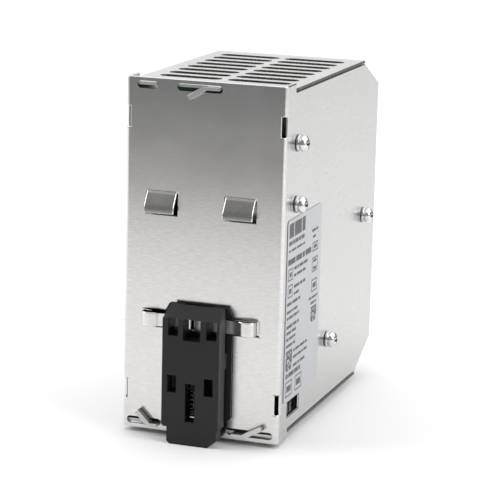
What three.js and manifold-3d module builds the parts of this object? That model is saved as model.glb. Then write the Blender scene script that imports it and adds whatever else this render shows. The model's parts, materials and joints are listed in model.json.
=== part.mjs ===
// Power supply for a 35 mm mounting rail: a bent sheet-metal case with vented covers, a sprung
// rail clip on its back, screw terminals on its front corners and the converter inside.
// Millimetres. In the case's own frame X is across, Y runs from the front (-) to the back plate
// (Y = 0), Z is up and Z = 0 is the case's lowest edge. The last lines move the origin to the
// middle of the assembly's base.
import * as THREE from 'three';
import { mergeVertices } from 'three/addons/utils/BufferGeometryUtils.js';
import Module from 'manifold-3d';

const wasm = await Module();
wasm.setup();

// ---- driving dimensions ----
const WIDTH = 58;
const DEPTH = 111;
const HEIGHT = 124.5;
const SHEET = 1.0;
const GAP = 0.3;
const HALF = WIDTH / 2;
const INNER = HALF - SHEET;

const EDGE_STEP = 3.0;          // side panel's long edges, in from the case's lowest and top edges
const COVER_STEP = 1.7;         // covers' outer faces, in from the same edges
const CORNER_TAB = 10.2;        // length of the full-height corners at the back
const CHAMFER_START = -91.4;    // Y where the side panels' front chamfers start
const CHAMFER_DROP = 12.5;      // Z of the chamfers' front ends, from the case's edges
const BEND_RADIUS = 1.5;

const SLOT_ROWS = 8;
const SLOT_FIRST = -19;
const SLOT_PITCH = 8.83;
const SLOT_WIDTH = 5.1;
const SLOT_END = 24;
const SLOT_BAR = 1.1;           // half the bar between the two columns of slots

const HOOK_CENTRES = [15.3, -13.4];
const HOOK_WIDTH = 10.9;
const HOOK_TOP = 85.2;
const HOOK_BEND = 80.4;         // where the hook's sloping face turns straight down
const HOOK_END = 78.1;
const HOOK_REACH = 2.8;         // hook's middle surface, out from the back plate

const CLIP_X = 0.55;            // centre line of the rail clip, its tongues and its spring
const CLIP_HALF = 10.45;
const CLIP_BASE_HALF = 12.35;
const CLIP_TOP = 47;
const CLIP_SLOPE = 4;           // height of the clip's sloping top
const CLIP_OUT = 8.5;
const CLIP_SHOULDER = 4.9;
const TAB_DROP = 1.7;           // how far the pull tab reaches below the case
const SLIT_IN = 1.0;
const SLIT_OUT = 2.6;
const TONGUE_LOW = 37.9;
const TONGUE_HIGH = 43.1;
const TONGUE_END = 2.7;         // tongues' ends, from the clip's centre line
const POST_Z = 8.55;            // top of the post that the clip's spring stands on
const SPRING_TOP = 20.2;
const SPRING_RADIUS = 1.35;
const SPRING_WIRE = 0.28;

const SELECTOR = { rear: -9.2, front: -21.9, low: 7.3, high: 12.5 };
const SIDE_SCREWS = [[-13.5, 103.6], [-13.5, 82.4], [-95.6, 63.4], [-53.7, 24.9]];
const BOARD_SCREWS = [[-13.5, 103.6], [-13.5, 18], [-80, 103.6], [-80, 18]];
const LABEL = { rear: -4.6, front: -42.3, low: 13.1, high: 78, corner: 1.6 };
const SCREW_HEAD = 4.0;
const SCREW_HOLE = 1.8;

const POLE_PITCH = 12.5;
const OUTPUT_POLES = [1.5, 0.5, -0.5, -1.5];
const INPUT_POLES = [1.5, 0.5, -0.5];
const POLE_Z = 103;
const BLOCK_BACK = -91.8;
const BLOCK_FRONT = -110.6;

const FINISHES = {
  sheet: { color: 0xd6d6d4, roughness: 0.35, metalness: 0.9 },
  white_sheet: { color: 0xdcdcda, roughness: 0.45, metalness: 0.6 },
  chrome: { color: 0xd0d2d4, roughness: 0.15, metalness: 1.0 },
  black: { color: 0x1b1b1c, roughness: 0.55, metalness: 0.0 },
  spring: { color: 0x3a3a3c, roughness: 0.35, metalness: 1.0 },
  label: { color: 0xc4c5c9, roughness: 0.5, metalness: 0.1 },
  board: { color: 0x2c5a38, roughness: 0.5, metalness: 0.0 },
  film: { color: 0xe8e4d4, roughness: 0.6, metalness: 0.0 },
  green: { color: 0x2f7d4c, roughness: 0.5, metalness: 0.0 },
  brass: { color: 0xb9a067, roughness: 0.35, metalness: 1.0 },
  ferrite: { color: 0x303134, roughness: 0.7, metalness: 0.1 },
  tape: { color: 0xd8b640, roughness: 0.5, metalness: 0.0 },
  capacitor: { color: 0x20242c, roughness: 0.35, metalness: 0.1 },
  aluminium: { color: 0xb4b7ba, roughness: 0.4, metalness: 1.0 },
  device: { color: 0x222222, roughness: 0.6, metalness: 0.0 },
  copper: { color: 0xb3663a, roughness: 0.4, metalness: 1.0 },
  glass: { color: 0xe6ece8, roughness: 0.1, metalness: 0.0 },
  lens_green: { color: 0x58c46a, roughness: 0.2, metalness: 0.0 },
  blue: { color: 0x2f5aa8, roughness: 0.5, metalness: 0.0 },
  white: { color: 0xececea, roughness: 0.5, metalness: 0.0 },
};

// ---- shape helpers ----
function solid(geometry) {
  const bare = geometry.clone();
  bare.deleteAttribute('normal');
  bare.deleteAttribute('uv');
  const merged = mergeVertices(bare, 1e-4);
  const vertProperties = new Float32Array(merged.attributes.position.array);
  const triVerts = new Uint32Array(merged.index.array);
  return new wasm.Manifold(new wasm.Mesh({ numProp: 3, vertProperties, triVerts }));
}

function join(...pieces) {
  return pieces.reduce((sum, piece) => sum.add(piece));
}

function cut(base, ...tools) {
  return tools.reduce((rest, tool) => rest.subtract(tool), base);
}

function block(x0, x1, y0, y1, z0, z1) {
  const geometry = new THREE.BoxGeometry(x1 - x0, y1 - y0, z1 - z0);
  geometry.translate((x0 + x1) / 2, (y0 + y1) / 2, (z0 + z1) / 2);
  return solid(geometry);
}

function asShape(outline) {
  if (outline instanceof THREE.Shape) {
    return outline;
  }
  return new THREE.Shape(outline.map(([a, b]) => new THREE.Vector2(a, b)));
}

function extruded(outline, depth, right, up, out, start, curveSegments) {
  const settings = { depth, bevelEnabled: false, curveSegments };
  const geometry = new THREE.ExtrudeGeometry(asShape(outline), settings);
  geometry.applyMatrix4(new THREE.Matrix4().makeBasis(right, up, out).setPosition(start));
  return solid(geometry);
}

const AXIS_X = new THREE.Vector3(1, 0, 0);
const AXIS_Y = new THREE.Vector3(0, 1, 0);
const AXIS_Z = new THREE.Vector3(0, 0, 1);

// An outline in (Y, Z) made into a solid from x0 to x1.
function prismX(outline, x0, x1, curveSegments = 4) {
  return extruded(outline, x1 - x0, AXIS_Y, AXIS_Z, AXIS_X, new THREE.Vector3(x0, 0, 0), curveSegments);
}

// An outline in (X, Z) made into a solid from y0 to y1.
function prismY(outline, y0, y1, curveSegments = 4) {
  const forward = AXIS_Y.clone().negate();
  return extruded(outline, y1 - y0, AXIS_X, AXIS_Z, forward, new THREE.Vector3(0, y1, 0), curveSegments);
}

// An outline in (X, Y) made into a solid from z0 to z1.
function prismZ(outline, z0, z1, curveSegments = 4) {
  return extruded(outline, z1 - z0, AXIS_X, AXIS_Y, AXIS_Z, new THREE.Vector3(0, 0, z0), curveSegments);
}

// A round bar along X, Y or Z, from one end to the other, centred on the two other coordinates.
function rod(axis, radius, from, to, a, b, sides = 16) {
  const geometry = new THREE.CylinderGeometry(radius, radius, to - from, sides);
  const middle = (from + to) / 2;
  if (axis === 'x') {
    geometry.rotateZ(Math.PI / 2).translate(middle, a, b);
  } else if (axis === 'y') {
    geometry.translate(a, middle, b);
  } else {
    geometry.rotateX(Math.PI / 2).translate(a, b, middle);
  }
  return solid(geometry);
}

// A slot with round ends along its first coordinate.
function obround(a0, a1, b0, b1) {
  const radius = (b1 - b0) / 2;
  const middle = (b0 + b1) / 2;
  const shape = new THREE.Shape();
  shape.moveTo(a0 + radius, b0);
  shape.lineTo(a1 - radius, b0);
  shape.absarc(a1 - radius, middle, radius, -Math.PI / 2, Math.PI / 2, false);
  shape.lineTo(a0 + radius, b1);
  shape.absarc(a0 + radius, middle, radius, Math.PI / 2, Math.PI * 1.5, false);
  return shape;
}

function roundedRectangle(a0, a1, b0, b1, radius) {
  const shape = new THREE.Shape();
  shape.moveTo(a0 + radius, b0);
  shape.lineTo(a1 - radius, b0);
  shape.absarc(a1 - radius, b0 + radius, radius, -Math.PI / 2, 0, false);
  shape.lineTo(a1, b1 - radius);
  shape.absarc(a1 - radius, b1 - radius, radius, 0, Math.PI / 2, false);
  shape.lineTo(a0 + radius, b1);
  shape.absarc(a0 + radius, b1 - radius, radius, Math.PI / 2, Math.PI, false);
  shape.lineTo(a0, b0 + radius);
  shape.absarc(a0 + radius, b0 + radius, radius, Math.PI, Math.PI * 1.5, false);
  return shape;
}

// The outline of a bent strip of sheet that follows a line of points.
function strip(points, thickness = SHEET) {
  const line = points.map(([a, b]) => new THREE.Vector2(a, b));
  const left = [];
  const right = [];
  for (let i = 0; i < line.length; i += 1) {
    const before = line[Math.max(i - 1, 0)];
    const after = line[Math.min(i + 1, line.length - 1)];
    const along = after.clone().sub(before).normalize();
    const side = new THREE.Vector2(-along.y, along.x).multiplyScalar(thickness / 2);
    left.push(line[i].clone().add(side));
    right.unshift(line[i].clone().sub(side));
  }
  return new THREE.Shape([...left, ...right]);
}

// Points along a smooth curve through the given ones.
function curve(points, steps) {
  const spline = new THREE.SplineCurve(points.map(([a, b]) => new THREE.Vector2(a, b)));
  return spline.getPoints(steps).map(({ x, y }) => [x, y]);
}

// The same piece on the other side of the case's middle.
function otherSide(piece) {
  return piece.mirror([1, 0, 0]);
}

// The same piece at the bottom of the case as at its top.
function upsideDown(piece) {
  return piece.mirror([0, 0, 1]).translate([0, 0, HEIGHT]);
}

// ---- case ----
function channelSection() {
  const inner = BEND_RADIUS - SHEET;
  const shape = new THREE.Shape();
  shape.moveTo(-HALF, -DEPTH);
  shape.lineTo(-INNER, -DEPTH);
  shape.lineTo(-INNER, -BEND_RADIUS);
  shape.absarc(-INNER + inner, -BEND_RADIUS, inner, Math.PI, Math.PI / 2, true);
  shape.lineTo(INNER - inner, -SHEET);
  shape.absarc(INNER - inner, -BEND_RADIUS, inner, Math.PI / 2, 0, true);
  shape.lineTo(INNER, -DEPTH);
  shape.lineTo(HALF, -DEPTH);
  shape.lineTo(HALF, -BEND_RADIUS);
  shape.absarc(HALF - BEND_RADIUS, -BEND_RADIUS, BEND_RADIUS, 0, Math.PI / 2, false);
  shape.lineTo(-HALF + BEND_RADIUS, 0);
  shape.absarc(-HALF + BEND_RADIUS, -BEND_RADIUS, BEND_RADIUS, Math.PI / 2, Math.PI, false);
  return shape;
}

function sideOutline() {
  const footRadius = 2.2;
  const shape = new THREE.Shape();
  shape.moveTo(1, 0);
  shape.lineTo(1, HEIGHT);
  shape.lineTo(-CORNER_TAB, HEIGHT);
  shape.lineTo(-CORNER_TAB, HEIGHT - EDGE_STEP);
  shape.lineTo(CHAMFER_START, HEIGHT - EDGE_STEP);
  shape.lineTo(-DEPTH, HEIGHT - CHAMFER_DROP);
  shape.lineTo(-DEPTH, CHAMFER_DROP);
  shape.lineTo(CHAMFER_START, EDGE_STEP);
  shape.lineTo(-CORNER_TAB, EDGE_STEP);
  shape.lineTo(-CORNER_TAB, footRadius);
  shape.absarc(-CORNER_TAB + footRadius, footRadius, footRadius, Math.PI, Math.PI * 1.5, false);
  return shape;
}

function bendWindow(side, low) {
  const reach = 1.7;
  const x0 = side > 0 ? HALF - reach : -HALF - 1;
  return block(x0, x0 + reach + 1, -reach - 0.2, 1, low, low + 7);
}

// A hook slopes out of the back plate, then turns straight down.
function hook(centre) {
  const profile = strip([
    [-SHEET / 2, HOOK_TOP + 1.2], [-SHEET / 2, HOOK_TOP + 0.5], ...curve([
      [-SHEET / 2 + 0.1, HOOK_TOP], [-0.1, HOOK_TOP - 0.5], [0.4, HOOK_TOP - 1.2],
    ], 5), ...curve([
      [HOOK_REACH - 0.75, HOOK_BEND + 0.9], [HOOK_REACH - 0.3, HOOK_BEND + 0.1],
      [HOOK_REACH - 0.05, HOOK_BEND - 0.7],
    ], 6), [HOOK_REACH, HOOK_END],
  ]);
  return prismX(profile, centre - HOOK_WIDTH / 2, centre + HOOK_WIDTH / 2);
}

// A tongue rises off the back plate in a loop and runs inwards through the rail clip's slit to a
// tip that turns back towards the plate. Drawn at +X of the clip's centre line.
function tongue() {
  const inSlit = (SLIT_IN + SLIT_OUT) / 2;
  const loop = curve([
    [20.9, -0.4], [20.55, 0.2], [20.4, 1.3], [20.1, 2.4], [19.2, 3.2], [17.7, 3.4], [16.1, 3.0], [14.7, 2.2],
    [13.4, inSlit + 0.05],
  ], 22);
  const tip = curve([
    [TONGUE_END + 1.8, inSlit], [TONGUE_END + 1.2, inSlit - 0.04], [TONGUE_END + 0.6, inSlit - 0.22],
    [TONGUE_END, inSlit - 0.55],
  ], 6);
  const profile = strip([[22.6, -SHEET / 2], [21.4, -SHEET / 2], ...loop, [12.2, inSlit], ...tip]);
  return prismZ(profile, TONGUE_LOW, TONGUE_HIGH);
}

const SLOTS_TOP = { low: HEIGHT - 3.9, high: HEIGHT - 1.3 };

function chassis() {
  const channel = prismZ(channelSection(), 0, HEIGHT);
  const blank = channel.intersect(prismX(sideOutline(), -HALF - 1, HALF + 1));
  const { low, high } = SLOTS_TOP;
  const longSlot = prismY(obround(-6.2, 10.3, low, high), -3, 2);
  const shortSlot = prismY(obround(17.1, 24.8, low, high), -3, 2);
  const bottomRight = prismY(obround(-27, -9.9, low, high), -3, 2);
  const bottomLeft = prismY(obround(14.5, 27.4, low, high), -3, 2);
  const cuts = [longSlot, shortSlot, upsideDown(bottomRight), upsideDown(bottomLeft)];
  for (const side of [1, -1]) {
    cuts.push(bendWindow(side, 107.2), bendWindow(side, 10.4));
    const [x0, x1] = side > 0 ? [CLIP_X + 2.2, 21.5] : [-21.5, CLIP_X - 2.2];
    cuts.push(block(x0, x1, -3, 1, TONGUE_LOW - 0.3, TONGUE_HIGH + 0.3));
  }
  const hookHoleHalf = HOOK_WIDTH / 2 + 0.3;
  for (const centre of HOOK_CENTRES) {
    cuts.push(block(centre - hookHoleHalf, centre + hookHoleHalf, -3, 1, HOOK_END - 0.8, HOOK_TOP));
  }
  cuts.push(block(CLIP_X - 1.4, CLIP_X + 1.4, -3, 1, POST_Z, POST_Z + 6.4));
  for (const [y, z] of SIDE_SCREWS) {
    cuts.push(rod('x', SCREW_HOLE, -HALF - 1, -INNER + 1, y, z, 12));
  }
  for (const [y, z] of BOARD_SCREWS) {
    cuts.push(rod('x', SCREW_HOLE, INNER - 1, HALF + 1, y, z, 12));
  }
  cuts.push(block(-HALF - 1, -INNER + 1, SELECTOR.front, SELECTOR.rear, SELECTOR.low, SELECTOR.high));
  const tongues = [tongue(), otherSide(tongue())].map((piece) => piece.translate([CLIP_X, 0, 0]));
  const post = block(CLIP_X - 1.2, CLIP_X + 1.2, -SHEET / 2, 6.2, POST_Z - SHEET, POST_Z);
  return join(cut(blank, ...cuts), ...HOOK_CENTRES.map(hook), ...tongues, post);
}

// ---- vented covers ----
function slottedSheet() {
  const top = HEIGHT - COVER_STEP;
  const bottom = top - SHEET;
  const wide = block(-HALF, HALF, CHAMFER_START, -CORNER_TAB - GAP, bottom, top);
  const narrow = block(-INNER + GAP, INNER - GAP, -CORNER_TAB - 1, -SHEET - GAP, bottom, top);
  const lip = block(-INNER + GAP, INNER - GAP, CHAMFER_START, CHAMFER_START + SHEET, top - 7, top);
  const slots = [];
  for (let row = 0; row < SLOT_ROWS; row += 1) {
    const y = SLOT_FIRST - row * SLOT_PITCH;
    for (const [x0, x1] of [[SLOT_BAR, SLOT_END], [-SLOT_END, -SLOT_BAR]]) {
      slots.push(prismZ(obround(x0, x1, y - SLOT_WIDTH / 2, y + SLOT_WIDTH / 2), bottom - 1, top + 1, 3));
    }
  }
  return cut(join(wide, narrow, lip), ...slots);
}

const EAR_WIDTH = 1.7;

// A tab through the back plate's slot, its end twisted down to lock it.
function lockingTab(flatFrom, flatTo, earEnd, drop) {
  const top = HEIGHT - COVER_STEP;
  const flat = block(Math.min(flatFrom, flatTo), Math.max(flatFrom, flatTo), -4, 2.6, top - SHEET, top);
  const middle = top - SHEET / 2;
  const ear = prismY(strip([[flatTo, middle], [earEnd, middle - drop]], EAR_WIDTH), 0.5, 2.6);
  return join(flat, ear);
}

function topCover() {
  const top = HEIGHT - COVER_STEP;
  const shortTab = block(17.7, 24.2, -4, -0.2, top - SHEET, top);
  return join(slottedSheet(), shortTab, lockingTab(-5.8, -0.4, 5.3, 3.5));
}

function bottomCover() {
  const right = lockingTab(-12.6, -17.2, -23.6, 3.5);
  const left = lockingTab(15, 18.4, 22.8, 4.4);
  return upsideDown(join(slottedSheet(), right, left));
}

// ---- front panel and what shows through it ----
const FRONT = { outer: -DEPTH + 0.2, low: 28.3, high: 96.2 };
const LED_X = 12;
const LED_Z = 86;
const TRIM = { x: -12, z: 86, radius: 1.9 };

function frontPanel() {
  const half = INNER - GAP;
  const face = block(-half, half, FRONT.outer, FRONT.outer + SHEET, FRONT.low, FRONT.high);
  const parts = [face];
  const holes = [rod('y', TRIM.radius + GAP, -DEPTH - 1, -DEPTH + 3, TRIM.x, TRIM.z, 16)];
  const [screwY, screwZ] = SIDE_SCREWS[2];
  for (const side of [1, -1]) {
    const [x0, x1] = side > 0 ? [half - SHEET, half] : [-half, -half + SHEET];
    parts.push(block(x0, x1, FRONT.outer, -90, screwZ - 12, screwZ + 12));
  }
  holes.push(rod('x', SCREW_HOLE, -HALF, -half + 2, screwY, screwZ, 12));
  holes.push(rod('y', 1.8, -DEPTH - 1, -DEPTH + 3, LED_X, LED_Z, 16));
  return cut(join(...parts), ...holes);
}

function indicatorLens() {
  const profile = [
    [0, 6.9], [1.95, 6.9], [1.95, 5.9], [1.5, 5.9], [1.5, 1.2], [1.3, 0.6], [0.9, 0.2], [0, 0],
  ].map(([r, h]) => new THREE.Vector2(r, h));
  const geometry = new THREE.LatheGeometry(profile.reverse(), 16);
  return solid(geometry.translate(LED_X, -DEPTH, LED_Z));
}

function trimmerBody() {
  const body = block(TRIM.x - 3.4, TRIM.x + 3.4, -109.2, -104.3, TRIM.z - 3.4, TRIM.z + 3.4);
  return cut(body, rod('y', TRIM.radius + GAP, -111, -107, TRIM.x, TRIM.z, 16));
}

function trimmerDial() {
  const dial = rod('y', TRIM.radius, -110.5, -107.3, TRIM.x, TRIM.z, 20);
  return cut(dial, block(TRIM.x - 0.35, TRIM.x + 0.35, -111, -109.7, TRIM.z - 1.5, TRIM.z + 1.5));
}

// ---- screw terminals, drawn at the top of the case; the input block is the same one upside down ----
const CHAMFER_SLOPE = (CHAMFER_DROP - EDGE_STEP) / (DEPTH + CHAMFER_START);
const CHAMBER = { front: -107, back: -92.6, low: 98.4, high: 107.6, half: 4.6 };
const CAGE = { front: -101, back: -93.4, low: 99, high: 107, half: 4.2, wall: 1.0 };
const BAR = { front: -99.7, back: -98.7, half: 2.9, low: 93.5, high: 106.6 };
const HEAD = { front: -106.7, back: -104.5, radius: 2.8 };

function chamferZ(y) {
  return HEIGHT - EDGE_STEP - (CHAMFER_START - y) * CHAMFER_SLOPE;
}

function terminalHousing(poles) {
  const low = FRONT.high + GAP;
  const sink = 0.6;
  const outline = [
    [BLOCK_BACK, low], [BLOCK_BACK, chamferZ(BLOCK_BACK) - sink], [BLOCK_FRONT, chamferZ(BLOCK_FRONT) - sink],
    [BLOCK_FRONT, low],
  ];
  const half = INNER - GAP;
  const cuts = [];
  for (const pole of poles) {
    const x = pole * POLE_PITCH;
    const { half: reach } = CHAMBER;
    cuts.push(block(x - reach, x + reach, CHAMBER.front, CHAMBER.back, CHAMBER.low, CHAMBER.high));
    cuts.push(rod('y', 2.5, BLOCK_FRONT - 1, CHAMBER.front + 1, x, POLE_Z, 16));
    cuts.push(block(x - 3.2, x + 3.2, BAR.back, BAR.back + 3.8, CHAMBER.high - 1, HEIGHT));
    const barReach = BAR.half + GAP;
    cuts.push(block(x - barReach, x + barReach, BAR.front - GAP, BAR.back + GAP, low - 1, CHAMBER.low + 1));
  }
  for (let wall = -2; wall <= 2; wall += 1) {
    const x = wall * POLE_PITCH;
    cuts.push(block(x - 0.5, x + 0.5, BLOCK_FRONT - 1, BLOCK_FRONT + 2, low - 1, chamferZ(BLOCK_FRONT) + 1));
  }
  return cut(prismX(outline, -half, half), ...cuts);
}

function terminalScrew(pole) {
  const x = pole * POLE_PITCH;
  const head = rod('y', HEAD.radius, HEAD.front, HEAD.back, x, POLE_Z, 20);
  const shank = rod('y', 1.5, HEAD.back - 0.5, BAR.front - GAP, x, POLE_Z, 12);
  const slot = block(x - 0.45, x + 0.45, HEAD.front - 1, HEAD.front + 1.1, POLE_Z - 4, POLE_Z + 4);
  const cross = block(x - 1.7, x + 1.7, HEAD.front - 1, HEAD.front + 1.1, POLE_Z - 0.45, POLE_Z + 0.45);
  return cut(join(head, shank), slot, cross);
}

function clampCage(pole) {
  const x = pole * POLE_PITCH;
  const outer = block(x - CAGE.half, x + CAGE.half, CAGE.front, CAGE.back, CAGE.low, CAGE.high);
  const inside = CAGE.half - CAGE.wall;
  const bore = block(x - inside, x + inside, CAGE.front + CAGE.wall, CAGE.back - CAGE.wall, 90, 110);
  return cut(outer, bore, rod('y', 1.8, CAGE.front - 1, CAGE.front + 1.5, x, POLE_Z, 12));
}

// One contact bar for each group of poles that carry the same potential.
function contactBar(poles) {
  const bars = poles.map((pole) => {
    const x = pole * POLE_PITCH;
    return block(x - BAR.half, x + BAR.half, BAR.front, BAR.back, BAR.low, BAR.high);
  });
  const xs = poles.map((pole) => pole * POLE_PITCH);
  const first = Math.min(...xs) - BAR.half;
  const last = Math.max(...xs) + BAR.half;
  return join(...bars, block(first, last, BAR.front, BAR.back, BAR.low, BAR.low + 2.4));
}

// ---- rail clip, its spring and the fasteners ----
// A window through the clip's outer wall, placed from the clip's centre line.
function clipWindow(x0, x1, z0, z1) {
  return block(x0, x1, SLIT_OUT - 0.5, CLIP_OUT + 1, z0, z1);
}

// Two layers on each side of the tongues' slit, joined by a bridge and a foot. The slit is open
// at the top, so the clip can slide down along the tongues.
function railClip() {
  const outer = CLIP_OUT;
  const side = [
    [SLIT_OUT, CLIP_TOP], [SLIT_OUT + 0.5, CLIP_TOP], [outer, CLIP_TOP - CLIP_SLOPE], [outer, -TAB_DROP],
    [SLIT_OUT, -TAB_DROP],
  ].reverse();
  const front = [
    [-CLIP_HALF, CLIP_SHOULDER], [-9.95, CLIP_SHOULDER - 0.8], [-9.95, 1.15], [-6.65, -TAB_DROP],
    [7.4, -TAB_DROP], [8.45, -TAB_DROP + 1.1], [8.45, CLIP_SHOULDER - 0.5],
    [CLIP_HALF - 0.7, CLIP_SHOULDER - 0.5],
    [CLIP_HALF, CLIP_SHOULDER + 0.2], [CLIP_HALF, CLIP_TOP - CLIP_SLOPE], [CLIP_HALF - 0.9, CLIP_TOP],
    [-CLIP_HALF + 0.4, CLIP_TOP], [-CLIP_HALF, CLIP_TOP - CLIP_SLOPE],
  ];
  const body = prismX(side, -CLIP_HALF - 1, CLIP_HALF + 1).intersect(prismY(front, 0, outer + 1));
  const base = prismY([
    [-CLIP_BASE_HALF, 7.6], [-10.8, 5.9], [10.8, 5.9], [CLIP_BASE_HALF, 7.6], [CLIP_BASE_HALF, 44],
    [CLIP_BASE_HALF - 1.4, 46.6], [-CLIP_BASE_HALF + 1.4, 46.6], [-CLIP_BASE_HALF, 44],
  ], GAP, SLIT_IN);
  const tipChannel = block(-5.5, 5.5, 0, SLIT_IN + 0.1, TONGUE_LOW - 1, CLIP_TOP);
  const bridge = block(-CLIP_HALF, CLIP_HALF, SLIT_IN - 0.2, SLIT_OUT + 0.2, 25.5, 31);
  const foot = block(-CLIP_HALF + 0.6, CLIP_HALF - 2.2, SLIT_IN - 0.2, SLIT_OUT + 0.2, 5.9, 8.5);
  const tabRelief = block(-CLIP_HALF - 1, CLIP_HALF + 1, 0, SLIT_OUT + 1.2, -TAB_DROP - 1, CLIP_SHOULDER);
  const holes = [
    clipWindow(4.75, 8.4, 37.1, 43.3), clipWindow(-3.4, 2.9, 35.7, 43.2), clipWindow(-9.4, -5.55, 36.7, 43.2),
    clipWindow(5.15, 8.75, 16.9, 23), clipWindow(-8.35, -5.05, 16.8, 23),
    block(-1.75, 1.75, -1, outer + 1, POST_Z - SHEET - 0.75, SPRING_TOP + GAP), tipChannel, tabRelief,
  ];
  return cut(join(body, base, bridge, foot), ...holes).translate([CLIP_X, 0, 0]);
}

class Coil extends THREE.Curve {
  constructor(radius, from, to, turns, x, y) {
    super();
    Object.assign(this, { radius, from, to, turns, x, y });
  }

  getPoint(t, target = new THREE.Vector3()) {
    const angle = t * this.turns * 2 * Math.PI;
    const z = this.from + (this.to - this.from) * t;
    return target.set(this.x + this.radius * Math.cos(angle), this.y + this.radius * Math.sin(angle), z);
  }
}

function clipSpring() {
  const turns = 8;
  const from = POST_Z + GAP + SPRING_WIRE;
  const to = SPRING_TOP - SPRING_WIRE;
  const path = new Coil(SPRING_RADIUS, from, to, turns, CLIP_X, 5.2);
  const section = new THREE.Shape();
  section.absarc(0, 0, SPRING_WIRE, 0, Math.PI * 2, false);
  const settings = { steps: turns * 10, extrudePath: path, curveSegments: 3, bevelEnabled: false };
  return solid(new THREE.ExtrudeGeometry(section, settings));
}

// A pan-head screw with its captive washer, drawn along +Z from the sheet's outer face.
function panScrew(length) {
  const profile = [
    [0, -length], [1.45, -length], [1.45, 0.3], [3.1, 0.3], [3.1, 1.1], [2.5, 1.25], [2.5, 1.45],
    [2.95, 1.6], [2.9, 2.5], [2.3, 3.4], [1.3, 3.9], [0, SCREW_HEAD],
  ].map(([r, h]) => new THREE.Vector2(r, h));
  const turned = solid(new THREE.LatheGeometry(profile, 18).rotateX(Math.PI / 2));
  const slot = block(-0.4, 0.4, -4, 4, SCREW_HEAD - 1.2, SCREW_HEAD + 1);
  const cross = block(-1.6, 1.6, -0.4, 0.4, SCREW_HEAD - 1.5, SCREW_HEAD + 1);
  return cut(turned, slot, cross);
}

// ---- voltage selector ----
const SLIDER_LENGTH = 5.6;

function selectorHousing() {
  const { rear, front, low, high } = SELECTOR;
  const body = block(-INNER + GAP, -18.5, front - 1.5, rear + 1.3, low - 2.2, high + 2.2);
  return cut(body, block(-HALF, -24.4, front + GAP, rear - GAP, low + GAP, high - GAP));
}

function selectorSlider() {
  const rear = SELECTOR.rear - 2 * GAP;
  const low = SELECTOR.low + 2 * GAP;
  const high = SELECTOR.high - 2 * GAP;
  const knob = block(-HALF + 0.5, -24.7, rear - SLIDER_LENGTH, rear, low, high);
  const middle = rear - SLIDER_LENGTH / 2;
  return cut(knob, block(-HALF, -HALF + 1.5, middle - 0.5, middle + 0.5, low - 1, high + 1));
}

// ---- converter ----
const BOARD = { inner: 23.4, outer: 25.0, front: -88, back: -5, low: 7, high: 117.5 };

function mainBoard() {
  const board = block(BOARD.inner, BOARD.outer, BOARD.front, BOARD.back, BOARD.low, BOARD.high);
  return cut(board, ...BOARD_SCREWS.map(([y, z]) => rod('x', SCREW_HOLE, 20, 28, y, z, 12)));
}

function insulatingFilm() {
  const film = block(BOARD.outer + GAP, BOARD.outer + GAP + 0.3, BOARD.front, BOARD.back, 5, 119.5);
  return cut(film, ...BOARD_SCREWS.map(([y, z]) => rod('x', 3.6, 20, 28, y, z, 12)));
}

// A hexagonal spacer between the board and the side panel, threaded for its screw.
function boardSpacer(y, z) {
  const spacer = rod('x', 3.0, BOARD.outer + GAP, INNER - GAP, y, z, 6);
  return cut(spacer, rod('x', SCREW_HOLE, 20, 30, y, z, 12));
}

function heatSink(low, high, front, back, screws) {
  const wall = -INNER + GAP;
  const web = block(wall, wall + 3, front, back, low, high);
  const leg = block(wall, 12, back - 2.5, back, low, high);
  const fins = [];
  for (let i = 0; i < 3; i += 1) {
    const x = -20 + i * 5;
    fins.push(block(x, x + 1.5, back - 6.5, back - 2, low, low + 12));
  }
  return cut(join(web, leg, ...fins), ...screws.map(([y, z]) => rod('x', SCREW_HOLE, -30, -20, y, z, 12)));
}

function powerDevice(x, back, z) {
  const body = block(x - 7.8, x + 7.8, back - 5, back, z - 10, z + 10);
  return cut(body, rod('y', 1.8, back - 6, back + 1, x, z + 6.5, 12));
}

function transformerCore() {
  const core = block(-6, 12, -66, -26, 60, 98);
  const windows = [block(-7, 13, -60, -52, 67, 91), block(-7, 13, -40, -32, 67, 91)];
  return cut(core, ...windows);
}

function transformerWinding() {
  const coil = prismZ(roundedRectangle(-13, 19, -59.6, -32.4, 3), 67.4, 90.6);
  return cut(coil, block(-6.4, 12.4, -52.4, -39.6, 60, 98));
}

function capacitor(radius, length, y, z) {
  const base = BOARD.inner - GAP;
  const can = rod('x', radius, base - length, base, y, z, 24);
  const ring = rod('x', radius + 1, base - 3.6, base - 2.6, y, z, 24);
  return cut(can, cut(ring, rod('x', radius - 0.6, base - 5, base, y, z, 24)));
}

function commonModeChoke() {
  const profile = [[4, -5], [9.5, -5], [9.5, 5], [4, 5], [4, -5]].map(([r, h]) => new THREE.Vector2(r, h));
  const ring = new THREE.LatheGeometry(profile, 20).rotateZ(Math.PI / 2);
  return solid(ring.translate(BOARD.inner - GAP - 5.2, -74, 36));
}

function fuse() {
  const x = BOARD.inner - GAP - 3.2;
  const tube = rod('z', 2.4, 52, 72, x, -82, 14);
  return join(tube, rod('z', 2.8, 51, 56, x, -82, 14), rod('z', 2.8, 68, 73, x, -82, 14));
}

function sideLabel() {
  const outline = roundedRectangle(LABEL.front, LABEL.rear, LABEL.low, LABEL.high, LABEL.corner);
  return prismX(outline, -HALF - 0.25, -HALF - 0.05);
}

// ---- assembly ----
const supply = new THREE.Group();
const caseFrame = new THREE.Group();
caseFrame.position.set(0, (DEPTH - CLIP_OUT) / 2, TAB_DROP);
supply.add(caseFrame);

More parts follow.
